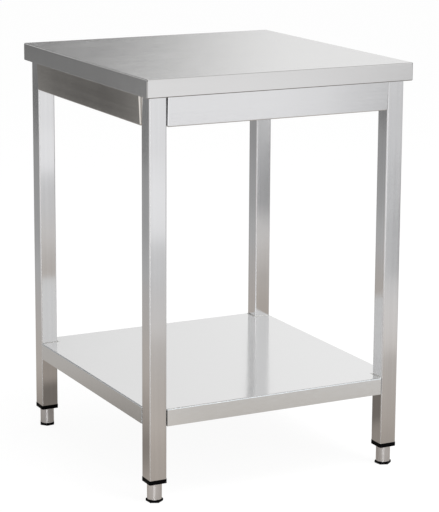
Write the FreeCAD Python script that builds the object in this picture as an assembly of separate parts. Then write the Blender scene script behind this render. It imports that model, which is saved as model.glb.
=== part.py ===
import FreeCAD, Part
import math
import os

os.makedirs("parts", exist_ok=True)

# A free-standing stainless work table: folded worktop on a board, four square
# tube legs tied by four folded aprons, a notched undershelf and four screw feet.
# Millimetres. X runs left to right, Y front to back, Z up from the floor.

# ---- worktop ---------------------------------------------------------------
top_width = 640.0         # left to right
top_depth = 674.0         # front to back
top_height = 918.0        # floor to working surface, feet half way out
top_edge = 40.0           # depth of the folded edge
top_sheet = 1.5           # worktop steel
top_return = 7.0          # lip turned inward at the foot of the edge
top_bend = 1.0            # inner radius of the worktop folds and ground corners
mitre_slot = 0.5          # slit between two lips at a corner
board_thick = 18.0        # chipboard core under the sheet
board_play = 1.5          # board to folded edge, all round
# ---- legs ------------------------------------------------------------------
leg_size = 40.0           # square tube, across flats
leg_wall = 1.5
leg_corner = 3.0          # outer corner radius of the tube
leg_inset_x = 13.0        # worktop side to leg face
leg_inset_y = 16.0        # worktop front to leg face
tube_foot = 52.0          # floor to the lower end of the tube
# ---- aprons ----------------------------------------------------------------
sheet = 1.2               # steel of aprons, shelf and stiffeners
fold = 1.3                # inner radius of their folds
ear_fold = 1.0            # inner radius of the folds at the apron ends
apron_drop = 64.0         # apron that shows below the worktop edge
apron_lean = 2.95         # degrees that the apron face tips outward
apron_step = 1.8          # apron foot beyond the leg faces
apron_flange = 30.0       # top flange, under the board
apron_return = 15.0       # bottom return
apron_ear = 32.0          # end flange, against the leg
apron_relief = 2.7        # height of the corner cut-out where two folds meet
relief_play = 0.6         # cut-out beyond the fold at the apron end
ear_bolt_rise = 40.0      # apron foot to the bolt in its end flange
# ---- undershelf ------------------------------------------------------------
shelf_height = 207.0      # floor to shelf surface
shelf_edge = 38.0         # depth of its folded edge
shelf_return = 10.0       # lip turned inward at the foot of the edge
notch_gap = 1.5           # leg face to notch wall
# ---- stiffeners ------------------------------------------------------------
hat_crown = 40.0          # width of the closed side of a hat profile
hat_rim = 14.0            # width of each rim of a hat profile
hat_depth = 25.0
hat_end_gap = 1.5         # end of a hat profile to what stops it
# ---- fasteners -------------------------------------------------------------
bolt_size = 8.0           # M8 thread, plain here
bolt_length = 18.0
bolt_head_flats = 13.0
bolt_head_thick = 5.3
nut_rim_flats = 15.0      # rim of a rivet nut, outside the tube wall
nut_rim_thick = 1.0
nut_barrel_flats = 11.0
nut_barrel_length = 16.0  # below the rim
hole_play = 0.4           # radial, round a bolt
snug = 0.1                # round a thread or a rivet barrel
cut_past = 1.0            # how far a cutting shape reaches past a face
# ---- feet ------------------------------------------------------------------
insert_flange = 9.0       # height of the black collar under the tube
insert_proud = 0.7        # collar beyond the tube faces
insert_plug = 66.0        # plug inside the tube
plug_play = 0.6           # plug to tube wall, between the ribs
plug_rib = 2.0            # height of each gripping rib
plug_rib_count = 2
plug_web = 2.0            # web that carries the nut
stud_size = 12.0          # M12 stud, plain here
stud_length = 147.0
stud_lift = 3.0           # stud end above the floor
stud_fit = 0.05           # radial running clearance of the stud
foot_nut_flats = 19.0
foot_nut_thick = 10.0
nut_pocket_play = 0.15
stud_passage_play = 0.8   # stud to the hexagonal passage through the web
sleeve_radius = 16.0
sleeve_wall = 1.5
sleeve_play = 0.3         # sleeve to the bore of the insert
sleeve_length = 71.5
base_flats = 32.6         # hexagonal base, across flats
base_thick = 6.5
base_chamfer = 0.9
boss_height = 16.0        # boss inside the foot of the sleeve
boss_play = 0.1
# resting turn of each hexagon about its stud, degrees
base_turn = {"front_left": 5.0, "front_right": 8.0, "back_left": 38.0, "back_right": 22.0}

# ---- worked out from the sizes above ----------------------------------------
corners = {
    "front_left": (-1, -1),
    "front_right": (1, -1),
    "back_left": (-1, 1),
    "back_right": (1, 1),
}
frame_top = top_height - top_sheet - board_thick
apron_bottom = top_height - top_edge - apron_drop
face_x = top_width / 2 - leg_inset_x        # outer faces of the legs
face_y = top_depth / 2 - leg_inset_y
leg_x = face_x - leg_size / 2               # leg centres
leg_y = face_y - leg_size / 2
inner_x = face_x - leg_size                 # inner faces of the legs
inner_y = face_y - leg_size
lean = math.radians(apron_lean)
plan_sheet = sheet / math.cos(lean)         # leaning sheet, measured level
apron_height = frame_top - apron_bottom
apron_reach = apron_step + apron_height * math.tan(lean)    # apron top beyond the leg faces
ear_bolt_height = apron_bottom + ear_bolt_rise
shelf_bolt_height = shelf_height - shelf_edge / 2
collar_foot = tube_foot - insert_flange
plug_top = tube_foot + insert_plug
nut_seat = plug_top - foot_nut_thick


def vec(x, y, z):
    return FreeCAD.Vector(x, y, z)


def box(low, high):
    """Box between two opposite corners."""
    size = [b - a for a, b in zip(low, high)]
    return Part.makeBox(size[0], size[1], size[2], vec(*low))


def centred_box(half_x, half_y, low, high):
    """Box centred on the Z axis, between two heights."""
    return box((-half_x, -half_y, low), (half_x, half_y, high))


def rod(radius, low, high, x=0.0, y=0.0):
    """Upright cylinder between two heights."""
    return Part.makeCylinder(radius, high - low, vec(x, y, low))


def hexagon(flats, low, high, turn=0.0):
    """Upright hexagonal prism; at turn 0 one flat faces +X."""
    radius = flats / 2 / math.cos(math.radians(30))
    angles = [math.radians(turn + 30 + 60 * k) for k in range(7)]
    points = [vec(radius * math.cos(a), radius * math.sin(a), low) for a in angles]
    return Part.Face(Part.makePolygon(points)).extrude(vec(0, 0, high - low))


def square_bar(half, radius, low, high):
    """Upright square bar with rounded long edges."""
    bar = centred_box(half, half, low, high)
    upright = [e for e in bar.Edges if abs(e.tangentAt(0).z) > 0.9]
    return bar.makeFillet(radius, upright)


def unit(a, b):
    length = math.hypot(b[0] - a[0], b[1] - a[1])
    return ((b[0] - a[0]) / length, (b[1] - a[1]) / length)


def folded_face(points, thick, inner_radius, lift):
    """Section of a sheet folded along points, with its thickness on their left.

    Each fold keeps inner_radius on its inner side and inner_radius + thick on
    its outer side. lift turns a flat (u, v) pair into a vector.
    """
    def line(a, b):
        return Part.LineSegment(lift(*a), lift(*b)).toShape()

    def arc(a, mid, b):
        return Part.Arc(lift(*a), lift(*mid), lift(*b)).toShape()

    def moved(p, direction, by):
        return (p[0] + direction[0] * by, p[1] + direction[1] * by)

    ahead = unit(points[0], points[1])
    left = (-ahead[1], ahead[0])
    here, there = points[0], moved(points[0], left, thick)
    cap_start = line(here, there)
    drawn, other = [], []
    for before, corner, after in zip(points, points[1:], points[2:]):
        d0, d1 = unit(before, corner), unit(corner, after)
        n0, n1 = (-d0[1], d0[0]), (-d1[1], d1[0])
        turn = math.atan2(d0[0] * d1[1] - d0[1] * d1[0], d0[0] * d1[0] + d0[1] * d1[1])
        side = 1 if turn > 0 else -1
        drawn_radius = inner_radius + (thick if side > 0 else 0.0)
        other_radius = inner_radius + (0.0 if side > 0 else thick)
        reach = drawn_radius * math.tan(abs(turn) / 2)
        start, end = moved(corner, d0, -reach), moved(corner, d1, reach)
        centre = moved(start, n0, side * drawn_radius)
        to_corner = unit(centre, corner)
        drawn += [line(here, start), arc(start, moved(centre, to_corner, drawn_radius), end)]
        far_start, far_end = moved(start, n0, thick), moved(end, n1, thick)
        far_mid = moved(centre, to_corner, other_radius)
        other += [line(there, far_start), arc(far_start, far_mid, far_end)]
        here, there = end, far_end
    last = points[-1]
    ahead = unit(points[-2], last)
    far_last = moved(last, (-ahead[1], ahead[0]), thick)
    drawn.append(line(here, last))
    other.append(line(there, far_last))
    edges = [cap_start] + drawn + [line(last, far_last)] + other
    return Part.Face(Part.Wire(Part.__sortEdges__(edges)))


def joined(shapes):
    """One clean solid from pieces that touch."""
    return shapes[0].fuse(shapes[1:]).removeSplitter().Solids[0]


def aimed(shape, at, direction):
    """A shape drawn along +Z, turned to a direction and moved."""
    turned = shape.copy()
    turned.Placement = FreeCAD.Placement(at, FreeCAD.Rotation(vec(0, 0, 1), direction))
    return turned


def turned_about_z(shape, degrees):
    copy = shape.copy()
    copy.rotate(vec(0, 0, 0), vec(0, 0, 1), degrees)
    return copy


def seats_on(names, height):
    """Bolted places on the inner faces of the legs at one height: the point on
    each tube face, and the way into the tube. names picks the x or y faces."""
    seats = []
    for sx, sy in corners.values():
        if "x" in names:
            seats.append((vec(sx * inner_x, sy * leg_y, height), vec(sx, 0, 0)))
        if "y" in names:
            seats.append((vec(sx * leg_x, sy * inner_y, height), vec(0, sy, 0)))
    return seats


def aimed_copies(shape, seats, back):
    """One copy at each seat, pointing in and drawn back from the tube face."""
    return [aimed(shape, at - inward * back, inward) for at, inward in seats]


# ---- pieces ------------------------------------------------------------------
def level_edges(shape, at=None):
    """Level edges of a shape, or only those at one height."""
    level = [e for e in shape.Edges if e.BoundBox.ZLength < 0.01]
    return [e for e in level if at is None or abs(e.BoundBox.ZMax - at) < 0.01]


def worktop_skin():
    """Sheet folded down on four sides, its corners welded and ground round, with a
    lip turned in and mitred."""
    foot = top_height - top_edge
    outer = centred_box(top_width / 2, top_depth / 2, foot, top_height)
    outer = outer.makeFillet(top_bend + top_sheet, outer.Edges)
    half_x, half_y = top_width / 2 - top_sheet, top_depth / 2 - top_sheet
    inner = centred_box(half_x, half_y, foot + top_sheet, top_height - top_sheet)
    inner = inner.makeFillet(top_bend, level_edges(inner))
    window_x, window_y = top_width / 2 - top_return, top_depth / 2 - top_return
    window = centred_box(window_x, window_y, foot - cut_past, foot + 2 * top_sheet)
    skin = outer.cut([inner, window])
    slit_length = math.sqrt(2) * (top_return - top_sheet - top_bend)
    for sx, sy in corners.values():
        near = (-cut_past, -mitre_slot / 2, foot - cut_past)
        slit = box(near, (slit_length, mitre_slot / 2, foot + top_sheet))
        slit = turned_about_z(slit, math.degrees(math.atan2(sy, sx)))
        slit.translate(vec(sx * window_x, sy * window_y, 0))
        skin = skin.cut(slit)
    return skin


def apron(half_gap, outward):
    """Apron between two legs, face to -Y. half_gap is half the space between
    the legs and outward the distance to their outer faces."""
    foot_out = outward + apron_step
    half_span = half_gap - nut_rim_thick
    tip = math.tan(lean)
    section = [
        (-apron_return, 0.0),
        (0.0, 0.0),
        (apron_height * tip, apron_height),
        (apron_height * tip - apron_flange, apron_height),
    ]
    half_middle = half_span - (ear_fold + sheet + relief_play)
    middle = folded_face(
        section, sheet, fold, lambda u, v: vec(-half_middle, -foot_out - u, apron_bottom + v)
    ).extrude(vec(2 * half_middle, 0, 0))
    low = apron_relief
    rise = apron_height - 2 * apron_relief
    ends = []
    for side in (-1, 1):
        plan = [(half_middle, 0.0), (half_span, 0.0), (half_span, -apron_ear)]
        if side > 0:
            plan.reverse()
        else:
            plan = [(-p, q) for p, q in plan]
        ear = folded_face(
            plan, plan_sheet, ear_fold, lambda p, q: vec(p, -foot_out - q - low * tip, apron_bottom + low)
        )
        ends.append(ear.extrude(vec(0, -rise * tip, rise)))
    shape = joined([middle] + ends)
    start = vec(-half_span - cut_past, -outward + leg_size / 2, ear_bolt_height)
    through = 2 * (half_span + cut_past)
    hole = Part.makeCylinder(bolt_size / 2 + hole_play, through, start, vec(1, 0, 0))
    return shape.cut(hole)


def hat(length, top):
    """Hat profile along Y, its rims up against the plane z = top."""
    rim, crown = hat_crown / 2 + hat_rim, hat_crown / 2
    half = [(-rim, -sheet), (-crown, -sheet), (-crown, -hat_depth)]
    points = half + [(-u, v) for u, v in reversed(half)]
    face = folded_face(points, sheet, fold, lambda u, v: vec(u, -length / 2, top + v))
    return face.extrude(vec(0, length, 0))


def leg_tube(sx, sy):
    """Square tube with a hexagonal hole for each rivet nut."""
    outer = square_bar(leg_size / 2, leg_corner, tube_foot, frame_top)
    half_bore = leg_size / 2 - leg_wall
    tube = outer.cut(centred_box(half_bore, half_bore, tube_foot - cut_past, frame_top + cut_past))
    tube.translate(vec(sx * leg_x, sy * leg_y, 0))
    punch = hexagon(nut_barrel_flats + 2 * snug, -cut_past, leg_wall + cut_past)
    seats = seats_on("xy", ear_bolt_height) + seats_on("x", shelf_bolt_height)
    return tube.cut(aimed_copies(punch, seats, 0))


def undershelf_pan():
    """Shelf folded down on four sides and round the leg notches."""
    foot = shelf_height - shelf_edge
    reach = leg_size + notch_gap

    def plan(inset, low, high):
        """Slab of the shelf's notched outline, shrunk by inset."""
        slab = centred_box(face_x - inset, face_y - inset, low, high)
        notches = []
        for sx, sy in corners.values():
            notch = centred_box(reach + inset, reach + inset, low - cut_past, high + cut_past)
            notch.translate(vec(sx * face_x, sy * face_y, 0))
            notches.append(notch)
        return slab.cut(notches)

    outer = plan(0.0, foot, shelf_height)
    outer = outer.makeFillet(fold + sheet, level_edges(outer, shelf_height))
    inner = plan(sheet, foot + sheet, shelf_height - sheet)
    inner = inner.makeFillet(fold, level_edges(inner, shelf_height - sheet))
    low, high = foot - cut_past, foot + 2 * sheet
    window = centred_box(face_x - shelf_return, face_y - shelf_return, low, high)
    window = window.common(plan(sheet, low, high))
    shape = outer.cut([inner, window])
    punch = rod(bolt_size / 2 + hole_play, -sheet / 2, 3 * sheet / 2)
    return shape.cut(aimed_copies(punch, seats_on("x", shelf_bolt_height), notch_gap + sheet))


def bolt():
    """Hexagon bolt, point up, with the underside of its head at z = 0."""
    head = hexagon(bolt_head_flats, -bolt_head_thick, 0)
    return joined([head, rod(bolt_size / 2 - snug, 0, bolt_length)])


def rivet_nut(rim_thick):
    """Hexagonal rivet nut: barrel in the tube, rim below z = 0."""
    rim = hexagon(nut_rim_flats, -rim_thick, 0)
    barrel = hexagon(nut_barrel_flats, 0, nut_barrel_length)
    thread = rod(bolt_size / 2, -rim_thick - cut_past, nut_barrel_length + cut_past)
    return joined([rim, barrel]).cut(thread)


def leg_insert():
    """Black insert: square collar under the tube, ribbed plug and nut pocket."""
    half_bore = leg_size / 2 - leg_wall
    plug_half = half_bore - plug_play
    collar = square_bar(leg_size / 2 + insert_proud, leg_corner + insert_proud, collar_foot, tube_foot)
    pieces = [collar, centred_box(plug_half, plug_half, tube_foot, plug_top)]
    for k in range(plug_rib_count):
        low = tube_foot + (k + 1) * insert_plug / (plug_rib_count + 1)
        pieces.append(centred_box(half_bore, half_bore, low, low + plug_rib))
    bore = rod(sleeve_radius + sleeve_play, collar_foot - cut_past, nut_seat - plug_web)
    passage = hexagon(stud_size + 2 * stud_passage_play, collar_foot, plug_top)
    pocket = hexagon(foot_nut_flats + 2 * nut_pocket_play, nut_seat, plug_top + cut_past)
    return joined(pieces).cut([bore, passage, pocket])


def foot_nut():
    """Nut that carries the stud, seated on the web of the insert."""
    blank = hexagon(foot_nut_flats, nut_seat, plug_top)
    return blank.cut(rod(stud_size / 2 + stud_fit, nut_seat - cut_past, plug_top + cut_past))


def foot_stud():
    """Stud of the screw foot."""
    return rod(stud_size / 2, stud_lift, stud_lift + stud_length)


def foot_sleeve():
    """Bright sleeve over the stud."""
    low, high = base_thick, base_thick + sleeve_length
    bore = rod(sleeve_radius - sleeve_wall, low - cut_past, high + cut_past)
    return rod(sleeve_radius, low, high).cut(bore)


def foot_base(turn):
    """Hexagonal base with a six-sided boss that fills the foot of the sleeve."""
    block = hexagon(base_flats, 0, base_thick, turn)
    block = block.makeChamfer(base_chamfer, level_edges(block))
    boss_flats = 2 * (sleeve_radius - sleeve_wall - boss_play) * math.cos(math.radians(30))
    boss = hexagon(boss_flats, base_thick, base_thick + boss_height, turn)
    well = rod(stud_size / 2 + stud_fit, stud_lift, base_thick + boss_height + cut_past)
    return joined([block, boss]).cut(well)


def on_leg(shape, name):
    """A piece drawn on the Z axis, moved under its leg."""
    sx, sy = corners[name]
    copy = shape.copy()
    copy.translate(vec(sx * leg_x, sy * leg_y, 0))
    return copy


# ---- assembly ----------------------------------------------------------------
nodes = {"worktop_skin": worktop_skin()}

hat_length = 2 * (face_y + apron_reach - apron_flange - hat_end_gap)
nodes["worktop_stiffener"] = hat(hat_length, frame_top)
shelf_hat_length = 2 * (face_x - sheet - hat_end_gap)
nodes["undershelf_stiffener"] = turned_about_z(hat(shelf_hat_length, shelf_height - sheet), 90)

# name, turn about Z, half the space between the legs, distance to the leg faces
sides = [
    ("front", 0, inner_x, face_y),
    ("right", 90, inner_y, face_x),
    ("back", 180, inner_x, face_y),
    ("left", 270, inner_y, face_x),
]
for side_name, turn, half_gap, outward in sides:
    nodes["apron_" + side_name] = turned_about_z(apron(half_gap, outward), turn)

board_x = top_width / 2 - top_sheet - board_play
board_y = top_depth / 2 - top_sheet - board_play
nodes["worktop_board"] = centred_box(board_x, board_y, frame_top, frame_top + board_thick)
nodes["undershelf_pan"] = undershelf_pan()

ear_seats = seats_on("xy", ear_bolt_height)
shelf_seats = seats_on("x", shelf_bolt_height)
ear_stack = nut_rim_thick + plan_sheet      # tube face to the underside of the bolt head
shelf_stack = notch_gap + sheet
nodes["apron_rivet_nuts"] = Part.makeCompound(aimed_copies(rivet_nut(nut_rim_thick), ear_seats, 0))
nodes["shelf_rivet_nuts"] = Part.makeCompound(aimed_copies(rivet_nut(notch_gap), shelf_seats, 0))
nodes["apron_bolts"] = Part.makeCompound(aimed_copies(bolt(), ear_seats, ear_stack))
nodes["shelf_bolts"] = Part.makeCompound(aimed_copies(bolt(), shelf_seats, shelf_stack))

nodes["foot_nuts"] = Part.makeCompound([on_leg(foot_nut(), name) for name in corners])
for name, (sx, sy) in corners.items():
    nodes["leg_" + name] = leg_tube(sx, sy)
    nodes["leg_insert_" + name] = on_leg(leg_insert(), name)
    nodes["foot_stud_" + name] = on_leg(foot_stud(), name)
    nodes["foot_sleeve_" + name] = on_leg(foot_sleeve(), name)
    nodes["foot_base_" + name] = on_leg(foot_base(base_turn[name]), name)

for name, shape in nodes.items():
    shape.exportStep("parts/" + name + ".step")
    print(name, len(shape.Solids), "solid(s)", round(shape.Volume), "mm3", shape.isValid())
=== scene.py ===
# %% [markdown]
# # A stainless work table
#
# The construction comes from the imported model: worktop, tube legs, folded aprons,
# undershelf and four screw feet, each a named node on a moving body. This lesson
# dresses that model. It gives every node a finish worked out from formulas, adds
# the fine pieces that sheet-metal work shows, and lights the table softly.

# %% Load the frame
import math

import bpy
import numpy as np
from mathutils import Matrix, Vector


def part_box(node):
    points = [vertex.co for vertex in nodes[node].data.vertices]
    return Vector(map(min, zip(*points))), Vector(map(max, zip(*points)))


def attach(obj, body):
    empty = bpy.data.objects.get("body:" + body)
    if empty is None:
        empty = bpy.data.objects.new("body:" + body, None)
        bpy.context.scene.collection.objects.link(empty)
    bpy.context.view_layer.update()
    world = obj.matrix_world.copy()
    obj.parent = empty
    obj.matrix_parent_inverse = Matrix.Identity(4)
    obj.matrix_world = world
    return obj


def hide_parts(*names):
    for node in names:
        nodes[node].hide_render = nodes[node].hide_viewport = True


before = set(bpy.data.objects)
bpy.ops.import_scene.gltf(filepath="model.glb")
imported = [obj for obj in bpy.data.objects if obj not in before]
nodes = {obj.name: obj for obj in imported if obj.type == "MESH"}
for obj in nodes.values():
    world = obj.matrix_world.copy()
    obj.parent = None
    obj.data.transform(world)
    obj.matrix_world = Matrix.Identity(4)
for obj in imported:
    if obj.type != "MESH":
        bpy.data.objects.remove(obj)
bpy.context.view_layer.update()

# %% [markdown]
# ## Sizes read from the frame
#
# Lengths are in metres here. Heights and faces come from the boxes of the packed
# nodes, so the looks follow the construction. Only what a box can't tell, such as
# the thickness of a sheet or the radius of its folds, is written down.

# %% Sizes
top_low, top_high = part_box("worktop_skin")
leg_low, leg_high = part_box("leg_front_left")
pan_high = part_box("undershelf_pan")[1]
table_height = top_high[2]
leg_size = leg_high[0] - leg_low[0]
sheet = 0.0012        # steel of the aprons, the shelf and the hat profiles
fold_round = 0.0025   # outer radius of the folds
tube_round = 0.003    # outer corner radius of a leg
notch_gap = 0.0015    # between a leg and the shelf's notch
corners = [(-1, -1), (1, -1), (-1, 1), (1, 1)]
print("worktop", [round(b - a, 4) for a, b in zip(top_low, top_high)], "leg", round(leg_size, 4))

# %% [markdown]
# ## Camera
#
# A long lens a little above the worktop, turned 27 degrees round the front-left
# corner. The small vertical shift keeps the legs nearly upright in the frame.

# %% Camera
turn, tilt, roll = math.radians(27.18), math.radians(11.58), math.radians(0.32)
forward = Vector((math.sin(turn) * math.cos(tilt), math.cos(turn) * math.cos(tilt), -math.sin(tilt)))
level_right = Vector((math.cos(turn), -math.sin(turn), 0.0))
level_up = level_right.cross(forward)
right = level_right * math.cos(roll) + level_up * math.sin(roll)
up = right.cross(forward)
camera_data = bpy.data.cameras.new("camera")
camera_data.lens = 143.1
camera_data.shift_y = -0.1
camera_data.clip_end = 100.0
camera = bpy.data.objects.new("camera", camera_data)
place = Matrix((right, up, -forward)).transposed().to_4x4()
place.translation = Vector((-2.064, -4.060, 1.501))
camera.matrix_world = place
bpy.context.scene.collection.objects.link(camera)
bpy.context.scene.camera = camera
print("camera at", [round(v, 3) for v in camera.location])

# %% [markdown]
# ## A small language for shader maths
#
# A node tree is arithmetic drawn as boxes. The class below lets it be written as
# arithmetic: a Wire holds one output socket, and each operator adds a Math node.
# Graph.add makes any other node from its type, its settings and its inputs.


# %% Shader maths
class Wire:
    """One output socket; + - * / and ** add Math nodes to its tree."""

    def __init__(self, graph, socket):
        self.graph, self.socket = graph, socket

    def beside(self, name):
        """Another output of the same node."""
        return Wire(self.graph, self.socket.node.outputs[name])

    def maths(self, operation, first, second):
        return self.graph.add("Math", operation=operation, inputs={0: first, 1: second})

    def __add__(self, other):
        return self.maths("ADD", self, other)

    def __radd__(self, other):
        return self.maths("ADD", other, self)

    def __sub__(self, other):
        return self.maths("SUBTRACT", self, other)

    def __rsub__(self, other):
        return self.maths("SUBTRACT", other, self)

    def __mul__(self, other):
        return self.maths("MULTIPLY", self, other)

    def __rmul__(self, other):
        return self.maths("MULTIPLY", other, self)

    def __truediv__(self, other):
        return self.maths("DIVIDE", self, other)

    def __pow__(self, other):
        return self.maths("POWER", self, other)


class Graph:
    """A node tree of a material or of the world, emptied to start with."""

    def __init__(self, owner):
        owner.use_nodes = True
        self.tree = owner.node_tree
        self.tree.nodes.clear()

    def add(self, kind, inputs=None, out=0, stops=None, **settings):
        """Adds a node, sets it up, feeds its inputs and returns one output."""
        node = self.tree.nodes.new("ShaderNode" + kind)
        for name, value in settings.items():
            setattr(node, name, value)
        if stops:
            ramp = node.color_ramp
            while len(ramp.elements) < len(stops):
                ramp.elements.new(0.5)
            for element, (at, grey) in zip(ramp.elements, stops):
                element.position = at
                element.color = (grey, grey, grey, 1.0)
        for name, value in (inputs or {}).items():
            self.feed(node.inputs[name], value)
        return Wire(self, node.outputs[out]) if len(node.outputs) else None

    def feed(self, socket, value):
        if isinstance(value, Wire):
            self.tree.links.new(value.socket, socket)
        else:
            socket.default_value = value


print("shader maths ready")

# %% [markdown]
# ## Words for that language
#
# A few phrases come back in every finish: a soft step, a hump that rises and falls
# again, a comparison, the parts of a vector, and a noise. Naming them keeps the
# recipes below short.


# %% Helpers for shader maths
def smooth(graph, value, low, high):
    """0 below low, 1 above high, and an S-curve between them."""
    return graph.add(
        "MapRange", inputs={"Value": value, "From Min": low, "From Max": high},
        interpolation_type="SMOOTHSTEP",
    )


def hump(graph, value, start, full, fade, gone):
    """0 before start, 1 from full to fade, and 0 again after gone."""
    return smooth(graph, value, start, full) * (1.0 - smooth(graph, value, fade, gone))


def compare(graph, operation, first, second):
    """One of the Math node's MAXIMUM, LESS_THAN and GREATER_THAN."""
    return graph.add("Math", operation=operation, inputs={0: first, 1: second})


def split(graph, vector):
    """The three parts of a vector."""
    first = graph.add("SeparateXYZ", inputs={0: vector})
    return first, first.beside(1), first.beside(2)


def dot(parts, direction):
    """How far a level direction points along another: the sum of the products of their parts."""
    return parts[0] * direction[0] + parts[1] * direction[1]


def noise(graph, vector, scale, detail=2.0):
    """Soft noise between 0 and 1, about a half in the mean."""
    inputs = {"Vector": vector, "Scale": scale, "Detail": detail}
    return graph.add("TexNoise", inputs=inputs, out="Fac")


print("helpers ready")

# %% [markdown]
# ## The room
#
# Satin steel has hardly any colour of its own: it shows the room. A picture of a
# studio could be wrapped round the scene, but then no tone could be moved. So the
# room is worked out as soft steps of brightness: pale walls, a greyer ceiling, a
# dark doorway straight behind and a softbox beside the camera. The camera itself
# sees plain white, and matt surfaces get one even level. Directions are pairs of
# x and y, with x to the right and y to the back.

# %% World
ceiling_shade, dark_level, softbox_level, matt_level = 0.42, 0.20, 2.4, 0.55
to_doorway, to_upper_dark, to_right_wall, to_softbox = (
    (0.122, 0.9925), (-0.122, 0.9925), (0.9, -0.43), (-0.454, -0.891)
)
world = bpy.data.worlds.new("studio")
bpy.context.scene.world = world
sky = Graph(world)
sx, sy, sz = split(sky, sky.add("TexCoord", out="Generated"))
level_part = (sx * sx + sy * sy) ** 0.5
# the doorway's right-hand edge draws back to the left above eye level
drawn_back = 0.036 * smooth(sky, sz, 0.13, 0.25)
doorway = smooth(sky, dot((sx, sy), to_doorway) / level_part - drawn_back, 0.924, 0.964)
# higher up the dark part is wider and reaches further left
above = smooth(sky, dot((sx, sy), to_upper_dark) / level_part, 0.87, 0.92) * smooth(sky, sz, 0.28, 0.34)
dark = compare(sky, "MAXIMUM", doorway, above) * (1.0 - smooth(sky, sz, 0.60, 0.80))
# the wall behind is a little brighter to its right, and the ceiling is greyer
wall = 0.93 + 0.10 * smooth(sky, dot((sx, sy), to_right_wall), -0.08, 0.12)
wall = wall * (0.85 + 0.15 * smooth(sky, sz, 0.13, 0.24))
plain_room = wall * (1.0 - ceiling_shade * smooth(sky, sz, 0.45, 0.80))
softbox = smooth(sky, dot((sx, sy), to_softbox) / level_part, 0.965, 0.985) * smooth(sky, sz, 0.02, 0.08)
mirrored = plain_room - dark * (plain_room - dark_level) + softbox_level * softbox
print("room:", len(sky.tree.nodes), "nodes")

# %% What each kind of ray sees of the room
camera_ray = sky.add("LightPath", out="Is Camera Ray")
glossy_ray = camera_ray.beside("Is Glossy Ray")
seen = compare(sky, "MAXIMUM", camera_ray, camera_ray.beside("Is Transmission Ray"))
studio = mirrored * glossy_ray + matt_level * (1.0 - glossy_ray)
strength = seen + studio * (1.0 - seen)
background = sky.add("Background", inputs={"Color": (1.0, 1.0, 1.0, 1.0), "Strength": strength})
sky.add("OutputWorld", inputs={"Surface": background})
print("world made")

# %% [markdown]
# ## The floor
#
# Legs and aprons are upright, so what they mirror is mostly floor. To the camera
# the floor is a pale sweep that keeps a soft shadow. To the steel it is a map of
# light, told by the distance from the table and by the direction: dark under the
# table, brighter in steps towards the front, and dim behind. Many small lamps could
# do the same, but a formula is exact about where each tone lies.


# %% Floor
def stage_panel(name, outline):
    """A flat four-cornered panel and the node tree of its material."""
    mesh = bpy.data.meshes.new(name)
    mesh.from_pydata(outline, [], [(0, 1, 2, 3)])
    material = bpy.data.materials.new(name)
    mesh.materials.append(material)
    panel = bpy.data.objects.new(name, mesh)
    bpy.context.scene.collection.objects.link(panel)
    return panel, Graph(material)


floor_reach, floor_drop = 30.0, 0.0005
floor, ground = stage_panel("floor", [
    (x * floor_reach, y * floor_reach, 0) for x, y in ((-1, -1), (1, -1), (1, 1), (-1, 1))
])
floor.location.z = -floor_drop
print("floor", 2 * floor_reach, "m across")

# %% Distance and direction on the floor
fx, fy, _ = split(ground, ground.add("TexCoord", out="Object"))
distance = (fx * fx + fy * fy) ** 0.5
# the 0.05 keeps the direction calm right under the table
way = fx / (distance + 0.05), fy / (distance + 0.05)
under = smooth(ground, distance, 0.2, 1.0)
away = smooth(ground, distance, 1.0, 3.4)
behind = smooth(ground, dot(way, (-0.300, 0.954)), 0.60, 0.92)
straight_behind = smooth(ground, dot(way, (0.139, 0.990)), 0.93, 0.97)
# the front is brightest to its left and falls off to the right
on_right = smooth(ground, dot(way, (0.891, 0.454)), 0.02, 0.15)
on_left = smooth(ground, dot(way, (-0.714, -0.7)), 0.55, 0.75)
far_level = (0.98 - 0.28 * on_right + 0.14 * on_left) * (1.0 - behind) + 0.50 * behind
near_level = (0.20 + 0.32 * under) * (1.0 + 0.15 * on_left)
level = near_level + (far_level - near_level) * away
print("floor light:", len(ground.tree.nodes), "nodes so far")

# %% Steps of light in front
# brighter out to 3 m on the left, and to 1.5 m on the right
steps_end = 5.0       # metres that both ramps cover
left_tones = [
    (0.06, 0.30), (0.10, 0.38), (0.16, 0.46), (0.24, 0.53), (0.29, 0.56), (0.33, 0.665),
    (0.46, 0.665), (0.52, 0.73), (0.60, 0.91), (0.68, 0.98), (0.84, 0.91), (1.0, 0.89),
]
right_tones = [
    (0.06, 0.30), (0.10, 0.38), (0.16, 0.465), (0.26, 0.53), (0.29, 0.69), (0.34, 0.745),
    (0.42, 0.727), (0.50, 0.56), (0.62, 0.49), (0.78, 0.52), (1.0, 0.62),
]
step_left = ground.add("ValToRGB", stops=left_tones, inputs={"Fac": distance / steps_end})
step_right = ground.add("ValToRGB", stops=right_tones, inputs={"Fac": distance / steps_end})
steps = 1.1 * (step_left + (step_right - step_left) * on_right) * (1.0 + 0.15 * on_left)
# a pool of light right before the shelf
pool = smooth(ground, dot(way, (0.342, -0.940)), 0.960, 0.985)
pool = pool * hump(ground, distance, 0.35, 0.60, 1.15, 1.35)
# to the right of that the floor falls off sooner
beyond = smooth(ground, dot(way, (0.819, 0.574)), -0.02, 0.04)
beyond = beyond * hump(ground, distance, 1.9, 2.3, 3.6, 4.6)
# a soft shade further to the right, half way to the backdrop
shade_right = smooth(ground, dot(way, (0.906, -0.423)), 0.868, 0.900)
shade_right = shade_right * hump(ground, distance, 1.15, 1.5, 2.2, 2.6)
steps = steps * (1.0 + pool) * (1.0 - 0.4 * beyond) * (1.0 - 0.19 * shade_right)
print("steps:", len(left_tones), "on the left,", len(right_tones), "on the right")

# %% Floor material
in_front = smooth(ground, way[1] * -1.0, 0.0, 0.5) * (1.0 - smooth(ground, distance, 4.5, 6.0))
level = level + (steps - level) * in_front
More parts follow.
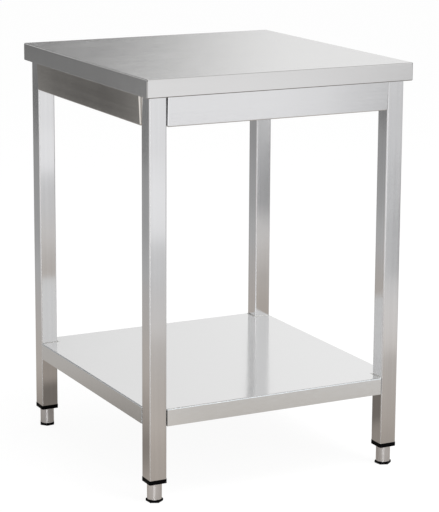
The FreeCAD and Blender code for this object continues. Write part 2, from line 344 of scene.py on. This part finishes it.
# a little more light close by on the left
close_left = smooth(ground, dot(way, (-0.966, 0.259)), 0.90, 0.97)
close_left = close_left * hump(ground, distance, 0.36, 0.46, 0.75, 1.0)
level = level * (1.0 + 0.28 * close_left) * (1.0 - 0.6 * straight_behind)
warmth = ground.add("MixRGB", inputs={
    "Fac": smooth(ground, distance, 0.2, 2.6),
    "Color1": (1.04, 0.93, 0.83, 1.0), "Color2": (0.99, 0.99, 1.0, 1.0),
})
mirror_side = ground.add("Emission", inputs={"Color": warmth, "Strength": level})
# to the camera nearly all of the white is the floor's own, and the rest takes the shadow
matt = ground.add("BsdfDiffuse", inputs={"Color": (0.10, 0.10, 0.10, 1.0)})
own_white = ground.add("Emission", inputs={"Strength": 0.93})
camera_side = ground.add("AddShader", inputs={0: matt, 1: own_white})
plain = ground.add("BsdfDiffuse", inputs={"Color": (0.8, 0.8, 0.8, 1.0)})
camera_ray = ground.add("LightPath", out="Is Camera Ray")
first = ground.add("MixShader", inputs={"Fac": camera_ray, 1: plain, 2: camera_side})
whole = ground.add("MixShader", inputs={"Fac": camera_ray.beside("Is Glossy Ray"), 1: first, 2: mirror_side})
ground.add("OutputMaterial", inputs={"Surface": whole})
print("floor material:", len(ground.tree.nodes), "nodes")

# %% [markdown]
# ## A grey board
#
# A grey board beside shiny things makes one side of them darker, so that their shape
# reads. This one stands behind the table to the left. Only the steel sees it, and
# only in a first reflection, so that the shelf still mirrors bright legs.

# %% Grey board
board_away, soft_edge = 1.6, 0.12
toward, along_board = Vector((-0.454, 0.891, 0.0)), Vector((0.891, 0.454, 0.0))
left_end, right_end, board_head = -0.70, 0.60, 0.95
ends = ((left_end, 0.0), (right_end, 0.0), (right_end, board_head), (left_end, board_head))
grey_board, screen = stage_panel("grey_board", [
    toward * board_away + along_board * side + Vector((0.0, 0.0, height)) for side, height in ends
])
for kind in ("camera", "diffuse", "shadow", "transmission"):
    setattr(grey_board, "visible_" + kind, False)
bx, by, bz = split(screen, screen.add("TexCoord", out="Object"))
side_step = dot((bx, by), along_board)
bounces = screen.add("LightPath", out="Ray Depth")
solid = smooth(screen, bz, 0.02, 0.12) * compare(screen, "LESS_THAN", bounces, 1.5)
solid = solid * hump(screen, side_step, left_end, left_end + soft_edge, right_end - soft_edge, right_end)
print("grey board", round(right_end - left_end, 2), "m wide")

# %% Tone of the board
# it grows darker towards its head
board_tones = [
    (0.0, 0.52), (0.1, 0.50), (0.2, 0.43), (0.4, 0.38), (0.5, 0.36), (0.6, 0.31),
    (0.68, 0.25), (0.76, 0.21), (1.0, 0.18),
]
board_tone = screen.add("ValToRGB", stops=board_tones, inputs={"Fac": bz})
# a slanted dark pane in it darkens the apron between the left legs
pane = hump(screen, side_step, -0.36, -0.29, -0.09, -0.03)
pane = pane * hump(screen, bz - 0.43 * side_step, 0.50, 0.56, 0.70, 0.75)
grey = screen.add("Emission", inputs={"Strength": board_tone * (1.0 - 0.62 * pane)})
clear = screen.add("BsdfTransparent")
shown = screen.add("MixShader", inputs={"Fac": solid, 1: clear, 2: grey})
screen.add("OutputMaterial", inputs={"Surface": shown})
print("board tones:", len(board_tones))

# %% [markdown]
# ## Lamps
#
# The steel is lit by what it mirrors. Two large, soft lamps light the matt pieces and
# give the floor its shadow. Steel would mirror them as hard squares, so glossy rays
# don't see them.


# %% Lamps
def soft_lamp(name, at, aim, size, power):
    """A square area lamp that points from one place to another."""
    data = bpy.data.lights.new(name, "AREA")
    data.shape, data.size, data.energy = "SQUARE", size, power
    lamp = bpy.data.objects.new(name, data)
    lamp.location = at
    lamp.rotation_euler = (Vector(aim) - Vector(at)).to_track_quat("-Z", "Y").to_euler()
    lamp.visible_camera = False
    lamp.visible_glossy = False
    bpy.context.scene.collection.objects.link(lamp)


centre = (0.0, 0.0, table_height * 0.55)
soft_lamp("lamp_overhead", (0.6, -0.8, 3.2), centre, size=2.2, power=90.0)
soft_lamp("lamp_front", (1.6, -3.2, 2.2), centre, size=1.8, power=45.0)

# %% [markdown]
# ## Brushed steel
#
# Brushed sheet is steel with a fine straight grain. An image of scratches would
# repeat and blur close up, so the grain is noise squeezed hard across one axis and
# stretched along the other. It nudges the roughness and the tone by a hair. Larger,
# softer patches keep wide sheets from looking printed.


# %% Grain
grain_stretch = 90.0      # length of a scratch over its width


def new_material(name):
    material = bpy.data.materials.new(name)
    return material, Graph(material)


def principled(material, graph, sockets):
    """Ends a material's tree in a Principled shader with the given sockets."""
    shader = graph.add("BsdfPrincipled", inputs=sockets)
    graph.add("OutputMaterial", inputs={"Surface": shader})
    return material


def patches(graph, size):
    """Soft patches of about the given size."""
    return noise(graph, graph.add("TexCoord", out="Object"), 1.0 / size)


def tinted(graph, tone, colour):
    """A colour, or any other vector, scaled by a tone."""
    return graph.add("VectorMath", operation="SCALE", inputs={0: colour, "Scale": tone})


def grain_of_sheet(graph, along, normal):
    """Coordinates squeezed for the grain, and the grain's axis as a vector.

    The grain runs along x, y or z. On faces square to x or y it can't, so there it
    runs upright, as on a sheet that was brushed first and folded afterwards.
    """
    x, y, z = split(graph, graph.add("TexCoord", out="Object"))
    axis, squeeze = "xyz".index(along), [1.0, 1.0, 1.0]
    squeeze[axis] = 1.0 / grain_stretch
    if along == "z":
        aside, grain_axis = 0.0, graph.add("CombineXYZ", inputs={2: 1.0})
    else:
        facing = split(graph, normal)[axis]
        aside = compare(graph, "GREATER_THAN", facing * facing, 0.5)
        grain_axis = graph.add("CombineXYZ", inputs={axis: 1.0 - aside, 2: aside})
    unrolled = graph.add("CombineXYZ", inputs={
        0: x * squeeze[0], 1: y * squeeze[1],
        2: z * (squeeze[2] - aside * (1.0 - 1.0 / grain_stretch)),
    })
    return unrolled, grain_axis


print("scratches are", grain_stretch, "times as long as wide")

# %% [markdown]
# ## One recipe for all sheets and tubes
#
# Worktop, aprons, legs and shelf differ in how fine, how rough and how straight they
# are. One function holds what they share. Its options hold what only one of them has:
# the worktop's underside, darkened as painted shade, the duller corners of tubes and
# folds, and the shelf's edges, which are brushed and toned otherwise than its top, with
# painted light on the front one.


# %% Brushed steel
def brushed(
    name, colour, rough, along, spread=0.10, wave=0.0003, swing=0.05, grain=5200.0,
    underside_shade_tone=1.0, corner_rough=0.0, edge_spread=None, front_painted_light=1.0, edge_colour=None,
):
    """Steel with a straight grain along x, y or z; upright faces may have their own spread.

    The normal leans across the grain by noise as fine as the grain, which spreads
    what the steel mirrors in that one direction, as brushing does. A second, slow
    noise, wave high, bends the sheet a little. swing is how much the tone varies.
    The edge options hold on upright faces, and the front face alone gets a brighter tone, as painted light.
    """
    material, graph = new_material(name)
    normal = graph.add("NewGeometry", out="Normal")
    unrolled, grain_axis = grain_of_sheet(graph, along, normal)
    lines, bands = noise(graph, unrolled, grain), noise(graph, unrolled, 150.0)
    clouds = patches(graph, 0.12)
    tone = 1.0 + (lines - 0.5) * swing + (bands - 0.5) * swing * 1.6 + (clouds - 0.5) * swing * 1.2
    roughness = rough + (bands - 0.5) * 0.06 + (clouds - 0.5) * 0.06
    facing_x, facing_y, rise = split(graph, normal)
    # painted shade: faces that point down are darker, standing for the shadow the lower fold mirrors
    if underside_shade_tone != 1.0:
        tone = tone * (1.0 - (1.0 - underside_shade_tone) * smooth(graph, 0.0 - rise, 0.15, 0.45))
    if corner_rough:
        rounded = facing_x * facing_x * facing_y * facing_y + rise * rise * (1.0 - rise * rise)
        roughness = roughness + corner_rough * smooth(graph, rounded, 0.02, 0.12)
    if edge_spread is None:
        tint = tinted(graph, tone, colour)
    else:
        lying = compare(graph, "GREATER_THAN", rise * rise, 0.5)
        spread = edge_spread + (spread - edge_spread) * lying
        # painted light: the tone of faces that look to the front is raised, standing for a pool of light
        # before them
        tone = tone * (1.0 + (front_painted_light - 1.0) * compare(graph, "LESS_THAN", facing_y, -0.7))
        tint = graph.add("VectorMath", operation="ADD", inputs={
            0: tinted(graph, lying, tinted(graph, tone, colour)),
            1: tinted(graph, tone * (1.0 - lying), edge_colour),
        })
    # the way across the grain lies in the face, square to the grain
    across = graph.add("VectorMath", operation="CROSS_PRODUCT", inputs={0: normal, 1: grain_axis})
    lean = tinted(graph, (lines - 0.5) * 4.0 * spread, across)
    leaning = graph.add("VectorMath", operation="ADD", inputs={0: normal, 1: lean})
    unit = graph.add("VectorMath", operation="NORMALIZE", inputs={0: leaning})
    slow = noise(graph, graph.add("TexCoord", out="Object"), 5.0, detail=1.0)
    bump = graph.add("Bump", inputs={"Height": slow, "Strength": 1.0, "Distance": wave, "Normal": unit})
    return principled(material, graph, {
        "Base Color": tint, "Metallic": 1.0, "Roughness": roughness, "Normal": bump,
    })


print("recipe for sheets and tubes ready")

# %% The steels
steel = {
    "worktop": brushed(
        "steel_worktop", (0.72, 0.715, 0.71), 0.16, "x", spread=0.06, wave=0.0001, underside_shade_tone=0.45
    ),
    "apron_wide": brushed("steel_apron_wide", (0.745, 0.745, 0.75), 0.16, "x", spread=0.06, wave=0.0006),
    # the side aprons are the same sheet as the front one, made darker and warmer as painted shade
    "apron_side_shaded": brushed("steel_apron_side_shaded", (0.645, 0.612, 0.572), 0.16, "y", spread=0.06, wave=0.0006),
    "leg": brushed(
        "steel_leg", (0.71, 0.71, 0.715), 0.09, "z", spread=0.08, wave=0.0024, swing=0.07,
        grain=26000.0, corner_rough=0.30,
    ),
    # the shelf's front flange is made brighter as painted light
    "shelf": brushed(
        "steel_shelf", (0.73, 0.73, 0.73), 0.12, "x", spread=0.02, swing=0.02, corner_rough=0.35,
        edge_spread=0.09, front_painted_light=1.28, edge_colour=(0.72, 0.755, 0.785),
    ),
    "hidden": brushed("steel_hidden", (0.55, 0.55, 0.555), 0.35, "y"),
    "fastener": brushed("steel_fastener", (0.60, 0.60, 0.595), 0.28, "z"),
}
print("steels:", sorted(steel))

# %% [markdown]
# ## The turned sleeves
#
# The round sleeve of each foot is turned on a lathe, which leaves fine rings. Rings
# draw a highlight out along the axis. Cut as real grooves they would need thousands
# of faces, so the shader's own anisotropy does it, and a faint noise along Z varies
# the tone.


# %% Turned sleeve
def turned(name, colour, rough):
    """Steel turned on a lathe: its fine rings round Z draw what it mirrors out up and down."""
    material, graph = new_material(name)
    height = split(graph, graph.add("TexCoord", out="Object"))[2]
    rings = graph.add(
        "TexNoise", inputs={"W": height, "Scale": 900.0, "Detail": 3.0}, out="Fac", noise_dimensions="1D"
    )
    clouds = patches(graph, 0.02)
    tone = 1.0 + (clouds - 0.5) * 0.10 + (rings - 0.5) * 0.08
    return principled(material, graph, {
        "Base Color": tinted(graph, tone, colour), "Metallic": 1.0,
        "Roughness": rough + (clouds - 0.5) * 0.05,
        "Anisotropic": 0.85, "Anisotropic Rotation": 0.25,
    })


steel["sleeve"] = turned("steel_sleeve", (0.76, 0.76, 0.77), 0.30)
print("turned steel made")

# %% [markdown]
# ## Plastic and chipboard
#
# The collars and bases of the feet are moulded black plastic with a fine spark
# texture, which scatters nearly all gloss. Under the worktop a raw chipboard shows.
# Wood rings would be wrong for it: chips are cells, each of its own tone, and a
# Voronoi pattern gives just that.


# %% Plastic and board
def moulded(name, colour, rough):
    """Moulded plastic: fine spark texture, soft patches in the gloss."""
    material, graph = new_material(name)
    pits = noise(graph, graph.add("TexCoord", out="Object"), 1400.0)
    clouds = patches(graph, 0.02)
    return principled(material, graph, {
        "Base Color": tinted(graph, 1.0 + (clouds - 0.5) * 0.3, colour),
        "Roughness": rough + (clouds - 0.5) * 0.15, "Specular IOR Level": 0.03,
        "Normal": graph.add("Bump", inputs={"Height": pits, "Strength": 0.3, "Distance": 0.0001}),
    })


def chipboard(name, colour):
    """Pressed chips: cells of pale wood, each of its own tone."""
    material, graph = new_material(name)
    where = graph.add("TexCoord", out="Object")
    chips = graph.add("TexVoronoi", inputs={"Vector": where, "Scale": 420.0}, out="Color")
    tone = split(graph, chips)[0] * 0.5 + 0.75
    return principled(material, graph, {"Base Color": tinted(graph, tone, colour), "Roughness": 0.8})


plastic = moulded("black_plastic", (0.002, 0.002, 0.0025), 0.45)
board = chipboard("chipboard", (0.52, 0.42, 0.30))
print("plastic and board made")

# %% [markdown]
# ## Which node gets which finish
#
# The sheets are brushed along their length, so the front and back aprons have their
# grain along X and the side ones along Y. Nodes that come four times are found by
# the start of their name. Nuts, bolts and studs take what is left, plated steel.

# %% Finish of each node
finish_of = {
    "worktop_skin": steel["worktop"], "worktop_board": board, "undershelf_pan": steel["shelf"],
    "apron_front": steel["apron_wide"], "apron_back": steel["apron_wide"],
    "apron_left": steel["apron_side_shaded"], "apron_right": steel["apron_side_shaded"],
    "worktop_stiffener": steel["hidden"], "undershelf_stiffener": steel["hidden"],
}
# the first start that fits counts, so leg_insert comes before leg
by_start = {"leg_insert": plastic, "leg": steel["leg"], "foot_sleeve": steel["sleeve"], "foot_base": plastic}
for name, node in nodes.items():
    started = [finish for start, finish in by_start.items() if name.startswith(start)]
    material = finish_of.get(name) or (started + [steel["fastener"]])[0]
    if not node.material_slots:
        node.data.materials.append(material)
    for slot in node.material_slots:
        slot.material = material
print("finished", len(nodes), "nodes")

# %% [markdown]
# ## New pieces as surfaces
#
# Each new piece is a surface worked out with numpy: rows of points on a grid, joined
# by four-sided faces. Modelling by hand would give the same shapes, but a formula
# follows the table's sizes. A closed surface has a signed volume, and where that
# comes out negative its faces are turned round, so that they point outwards.


# %% Surface helpers
def grid_faces(rows, columns, closed=False):
    """Faces between the points of a grid, numbered row by row.

    In a closed grid the last column also meets the first.
    """
    row, column = np.mgrid[:rows - 1, :columns if closed else columns - 1]
    here, after = row * columns + column, row * columns + (column + 1) % columns
    return np.stack([here, after, after + columns, here + columns], -1).reshape(-1, 4)


def outward(points, faces):
    """The faces, all turned round if the volume that they enclose is negative.

    The volume is the sum of a . (b x c) / 6 over the triangles a, b, c of the faces.
    """
    triangles = [(f[0], f[k], f[k + 1]) for f in faces for k in range(1, len(f) - 1)]
    a, b, c = (points[np.array(triangles)[:, k]] for k in range(3))
    volume = np.einsum("ij,ij->", a, np.cross(b, c))
    return faces if volume > 0 else [f[::-1] for f in faces]


def stacked_rings(rings):
    """A closed surface through rings of points, shaped (rings, around, 3), with flat ends."""
    count, around = rings.shape[:2]
    faces = [list(f) for f in grid_faces(count, around, closed=True)]
    faces += [list(range(around))[::-1], list(range((count - 1) * around, count * around))]
    return rings.reshape(-1, 3), faces


def two_skins(outer, inner):
    """A closed shell between two grids of points of the same size."""
    rows, columns = outer.shape[:2]
    skin, size = grid_faces(rows, columns), rows * columns
    edge = np.concatenate([
        np.arange(columns), np.arange(2, rows) * columns - 1, size - 1 - np.arange(columns),
        np.arange(rows - 2, 0, -1) * columns,
    ])
    after = np.roll(edge, -1)
    rim = np.stack([edge, edge + size, after + size, after], -1)
    faces = np.concatenate([skin, skin[:, ::-1] + size, rim])
    return np.concatenate([outer.reshape(-1, 3), inner.reshape(-1, 3)]), [list(f) for f in faces]


def piece(name, parts, material, body="table", smooth_shade=True):
    """One object from closed surfaces, given as pairs of points and faces."""
    points, faces, start = [], [], 0
    for part_points, part_faces in parts:
        part_faces = outward(part_points - part_points.mean(axis=0), part_faces)
        points.append(part_points)
        faces += [(np.array(face) + start).tolist() for face in part_faces]
        start += len(part_points)
    mesh = bpy.data.meshes.new(name)
    mesh.from_pydata(np.concatenate(points).tolist(), [], faces)
    mesh.polygons.foreach_set("use_smooth", [smooth_shade] * len(mesh.polygons))
    mesh.materials.append(material)
    mesh.update()
    made = bpy.data.objects.new(name, mesh)
    bpy.context.scene.collection.objects.link(made)
    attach(made, body)
    print(name, len(parts), "surfaces,", len(faces), "faces")
    return made


print("surface helpers ready")

# %% [markdown]
# ## Ground corners of the worktop
#
# The folded edges meet at four upright corners, which are welded and ground flush.
# Grinding leaves a strip with a coarser, duller finish and a small pit at its head. The pit isn't cut: its
# shade is painted as a dark spot in the finish.
# A mask in the sheet's own material could colour it, but wouldn't stand proud. So the
# strip is a thin shell, some hundredths of a millimetre over the sheet's rounding.


# %% Ground corners
def ground_corner(sign_x, sign_y, proud=0.00006, margin=0.00002, sunk=0.00008, thick=0.0006):
    """A strip over one rounded corner of the worktop.

    A rounded box is a smaller box with a ball rolled over it, so each point is a
    corner or edge point of the smaller box plus fold_round + lift along the normal
    (cos p cos q, sin p cos q, sin q). The lift is proud, but never so much that a
    point comes nearer than margin to the box, and the first and last rows are sunk
    below the sheet.
    """
    core_x, core_y, core_top = (high - fold_round for high in top_high)
    core_foot = top_low[2] + fold_round
    p = np.radians(np.linspace(2.0, 88.0, 19))
    q = np.radians(np.concatenate([
        np.linspace(-70.0, 0.0, 5), np.zeros(10), np.linspace(0.0, 72.0, 7)[1:]
    ]))
    height = np.concatenate([
        np.full(5, core_foot), np.linspace(core_foot, core_top, 12)[1:-1], np.full(6, core_top)
    ])
    normal = np.stack([
        np.outer(np.cos(q), np.cos(p)), np.outer(np.cos(q), np.sin(p)),
        np.outer(np.sin(q), np.ones_like(p)),
    ], -1)
    core = np.stack(np.broadcast_arrays(np.full_like(p, core_x), core_y, height[:, None]), -1)
    room = fold_round / np.abs(normal).max(axis=-1, keepdims=True) - fold_round
    lift = np.minimum(room - margin, proud)
    lift[[0, -1]] = -sunk
    flip = np.array([sign_x, sign_y, 1.0])
    outer = (core + (fold_round + lift) * normal) * flip
    inner = (core + (fold_round - thick) * normal) * flip
    return two_skins(outer, inner)


print("a strip has", len(ground_corner(1, 1)[1]), "faces")


# %% Ground finish
def ground_finish(name, colour):
    """Coarse upright scratches, a duller tone, and the painted shade of a small pit at the head of each
    weld.
    """
    material, graph = new_material(name)
    where = graph.add("TexCoord", out="Object")
    x, y, z = split(graph, where)
    # the pit lies just in from the corner and under the top
    pit_in_x, pit_in_y, pit_down = 0.0018, 0.0003, 0.0028
    off_x = graph.add("Math", operation="ABSOLUTE", inputs={0: x}) - (top_high[0] - pit_in_x)
    off_y = graph.add("Math", operation="ABSOLUTE", inputs={0: y}) - (top_high[1] - pit_in_y)
    off_z = z - (top_high[2] - pit_down)
    pit_distance = (off_x * off_x + off_y * off_y + off_z * off_z) ** 0.5
    # painted shade: the pit is a dark spot in the tone, not a hollow
    pit_shade = 1.0 - smooth(graph, pit_distance, 0.0009, 0.0017)
    squeezed = graph.add("Mapping", inputs={"Vector": where, "Scale": (2600.0, 2600.0, 90.0)})
    scratches = noise(graph, squeezed, 1.0)
    clouds = patches(graph, 0.006)
    tone = (1.0 + (scratches - 0.5) * 0.2 + (clouds - 0.5) * 0.25) * (1.0 - 0.9 * pit_shade)
    return principled(material, graph, {
        "Base Color": tinted(graph, tone, colour), "Metallic": 1.0,
        "Roughness": 0.50 + (clouds - 0.5) * 0.2 + pit_shade * 0.3,
        "Normal": graph.add("Bump", inputs={"Height": scratches, "Strength": 0.5, "Distance": 0.00004}),
    })


steel["ground"] = ground_finish("steel_ground", (0.42, 0.415, 0.41))
piece("corner_welds", [ground_corner(*signs) for signs in corners], steel["ground"])

# %% [markdown]
# ## Joint filler round the legs
#
# The shelf is notched round each leg with a gap of 1.5 mm. A grey joint filler, as
# kitchens have it, closes that gap and keeps water out. A ring cut from a block would
# miss the notch's square corner, so a section is carried along a path: it runs from
# the tube's face over the rounded edge of the sheet, and goes round the inner corner.


# %% Joint filler
def filler(sign_x, sign_y, short=0.003):
    """A strip swept round the inner corner of one leg, ending short of its outer faces.

    The path is the tube's face, its rounded corner (a centre plus tube_round at angle
    p) and the next face. The section reaches out to the notch, which is square, so it
    is (tube_round + reach) / max(cos p, sin p) - tube_round wide. Its points are
    shares of that width, and heights over the shelf.
    """
    reach = notch_gap + fold_round
    centre_x, centre_y = abs(leg_high[0]) + tube_round, abs(leg_high[1]) + tube_round
    run_x, run_y = abs(leg_low[0]) - short - centre_x, abs(leg_low[1]) - short - centre_y
    p = np.radians(np.concatenate([np.zeros(5), np.linspace(0.0, 90.0, 9), np.full(5, 90.0)]))
    along_y = np.concatenate([np.linspace(run_y, 0.001, 5), np.zeros(14)])
    along_x = np.concatenate([np.zeros(14), np.linspace(0.001, run_x, 5)])
    width = (tube_round + reach) / np.maximum(np.cos(p), np.sin(p)) - tube_round
    share, height = np.array([
        (-0.08, 0.0007), (0.0, 0.0007), (0.35, 0.0005), (0.7, 0.0003), (1.0, -0.0001),
        (0.8, -0.0008), (0.40, -0.0032), (0.2, -0.0036), (-0.08, -0.0036),
    ]).T
    out = tube_round + width[:, None] * share
    return stacked_rings(np.stack([
        sign_x * (centre_x + along_x[:, None] - out * np.cos(p)[:, None]),
        sign_y * (centre_y + along_y[:, None] - out * np.sin(p)[:, None]),
        np.broadcast_to(pan_high[2] + height, out.shape),
    ], -1))


def filler_finish(name, colour):
    """Set joint filler: smooth, faintly mottled, with a low sheen."""
    material, graph = new_material(name)
    clouds, fine = patches(graph, 0.008), patches(graph, 0.0012)
    return principled(material, graph, {
        "Base Color": tinted(graph, 1.0 + (clouds - 0.5) * 0.2, colour),
        "Roughness": 0.42 + (fine - 0.5) * 0.2,
        "Normal": graph.add("Bump", inputs={"Height": fine, "Strength": 0.3, "Distance": 0.0002}),
    })


grey_filler = filler_finish("joint_filler", (0.62, 0.62, 0.61))
piece("shelf_filler", [filler(*signs) for signs in corners], grey_filler)

# %% [markdown]
# ## Bolts with chamfered heads
#
# A real hexagon bolt has its head chamfered at 30 degrees, so that its flats end in
# arcs. A bevel would cut straight facets. Here each ring of the head takes the smaller
# of two radii, the hexagon's and a cone's, and the arcs come by themselves. The packed
# bolts are plain prisms; these stand for them, in the same seats.


# %% Bolt
def bolt_rings(flats=0.013, head=0.0053, thread=0.0039, length=0.018, around=48):
    """Rings of a bolt along Z, the underside of its head at 0.

    The hexagon's radius is flats / 2 / cos(angle to the nearest flat), and the cone's
    grows by depth * 1.732, the slope of a 30 degree chamfer.
    """
    angle = np.linspace(0.0, 2 * np.pi, around, endpoint=False)
    hexagon = flats / 2 / np.cos((angle + np.pi / 6) % (np.pi / 3) - np.pi / 6)
    cone, depth = flats / 2 * 0.95, np.array([0.0003, 0.0006, 0.0009, 0.0012])
    chamfer = np.minimum(hexagon, cone + depth[:, None] * 1.732)
    round_parts = np.outer([cone * 0.6, cone, thread, thread, thread * 0.8], np.ones(around))
    radius = np.concatenate([round_parts[:2], chamfer, [hexagon, hexagon * 0.98], round_parts[2:]])
    height = np.concatenate([[-head, -head], depth - head, [-0.0001, 0.0, 0.0, length - 0.0008, length]])
    return np.stack([
        radius * np.cos(angle), radius * np.sin(angle), np.broadcast_to(height[:, None], radius.shape)
    ], -1)


def bolt_at(seat, direction):
    """A bolt turned from +Z to a direction and moved to its seat."""
    turned_to = Vector((0.0, 0.0, 1.0)).rotation_difference(Vector(direction)).to_matrix()
    return stacked_rings(bolt_rings() @ np.array(turned_to).T + np.array(seat))


print("a bolt has", len(bolt_rings()), "rings")

# %% Frame bolts
ear_low, ear_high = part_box("apron_bolts")
bolt_low, bolt_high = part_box("shelf_bolts")
ear_height, shelf_bolt_height = (ear_low[2] + ear_high[2]) / 2, (bolt_low[2] + bolt_high[2]) / 2
nut_rim = 0.001           # rim of a rivet nut, between tube and flange
ear_stack, shelf_stack = nut_rim + sheet, notch_gap + sheet
inner_x, inner_y = abs(leg_high[0]), abs(leg_high[1])
mid_x, mid_y = inner_x + leg_size / 2, inner_y + leg_size / 2
bolts = [
    bolt_at(seat, direction) for sign_x, sign_y in corners for seat, direction in (
        ((sign_x * (inner_x - ear_stack), sign_y * mid_y, ear_height), (sign_x, 0, 0)),
        ((sign_x * mid_x, sign_y * (inner_y - ear_stack), ear_height), (0, sign_y, 0)),
        ((sign_x * (inner_x - shelf_stack), sign_y * mid_y, shelf_bolt_height), (sign_x, 0, 0)),
    )
]
frame_bolts = piece("frame_bolts", bolts, steel["fastener"], smooth_shade=False)
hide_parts("apron_bolts", "shelf_bolts")

# %% [markdown]
# ## Screws into the board
#
# From below, pan-head screws go up through the apron flanges and the stiffener's rims
# into the chipboard. Each head is a height map on a round grid: a shallow dome with a
# cross taken out of it. Cutting the cross with another solid would leave ragged faces
# on so small a shape.


# %% Screw
def screw_rings(radius=0.0048, dome=0.0026, rim=0.0005, around=48):
    """Rings of a pan head that hangs below z = 0.

    The head is rim + dome * (1 - (r / radius) ** 3) deep. The recess takes 1.4 mm away
    where |x| or |y| is under a blade's half width, fading out at 2.9 mm from the axis.
    """
    angle = np.linspace(0.0, 2 * np.pi, around, endpoint=False)
    share = np.array([1.0, 1.0, 0.97, 0.9, 0.8, 0.7, 0.62, 0.56, 0.5, 0.42, 0.34, 0.26, 0.18, 0.1])
    share = share[:, None] * np.ones(around)
    r, depth = radius * share, dome * (1.0 - share ** 3) + rim
    depth[0] = 0.0
    blade = np.minimum(np.abs(r * np.cos(angle)), np.abs(r * np.sin(angle)))
    recess = np.clip((0.00062 - blade) / 0.00015, 0.0, 1.0) * np.clip((0.0029 - r) / 0.0003, 0.0, 1.0)
    return np.stack([r * np.cos(angle), r * np.sin(angle), 0.0014 * recess - depth], -1)


print("a screw head has", len(screw_rings()), "rings")

# %% Board screws
under_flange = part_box("worktop_board")[0][2] - sheet
half_flange = 0.015       # from an apron's face to the middle of its top flange
flange_x = abs(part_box("apron_left")[0][0]) - half_flange
flange_y = abs(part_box("apron_front")[0][1]) - half_flange
rim_x = 0.0275            # middle of the stiffener's rims
places = [(x, sign * flange_y) for x in (-0.21, -0.11, 0.11, 0.21) for sign in (-1, 1)]
places += [
    (sign * x, y) for x in (flange_x, rim_x) for y in (-0.22, -0.075, 0.075, 0.22) for sign in (-1, 1)
]
# no two neighbours were driven to the same angle
driven_to = np.radians(np.resize([17.0, 64.0, 38.0, 5.0, 81.0, 52.0], len(places)))
screws = []
for (x, y), angle in zip(places, driven_to):
    c, s = np.cos(angle), np.sin(angle)
    about_z = np.array([[c, s, 0.0], [-s, c, 0.0], [0.0, 0.0, 1.0]])
    screws.append(stacked_rings(screw_rings() @ about_z + np.array([x, y, under_flange])))
piece("board_screws", screws, steel["fastener"])

# %% [markdown]
# ## Closing
#
# The Standard view shows colours as they were written.

# %% Colour settings
bpy.context.scene.view_settings.view_transform = "Standard"
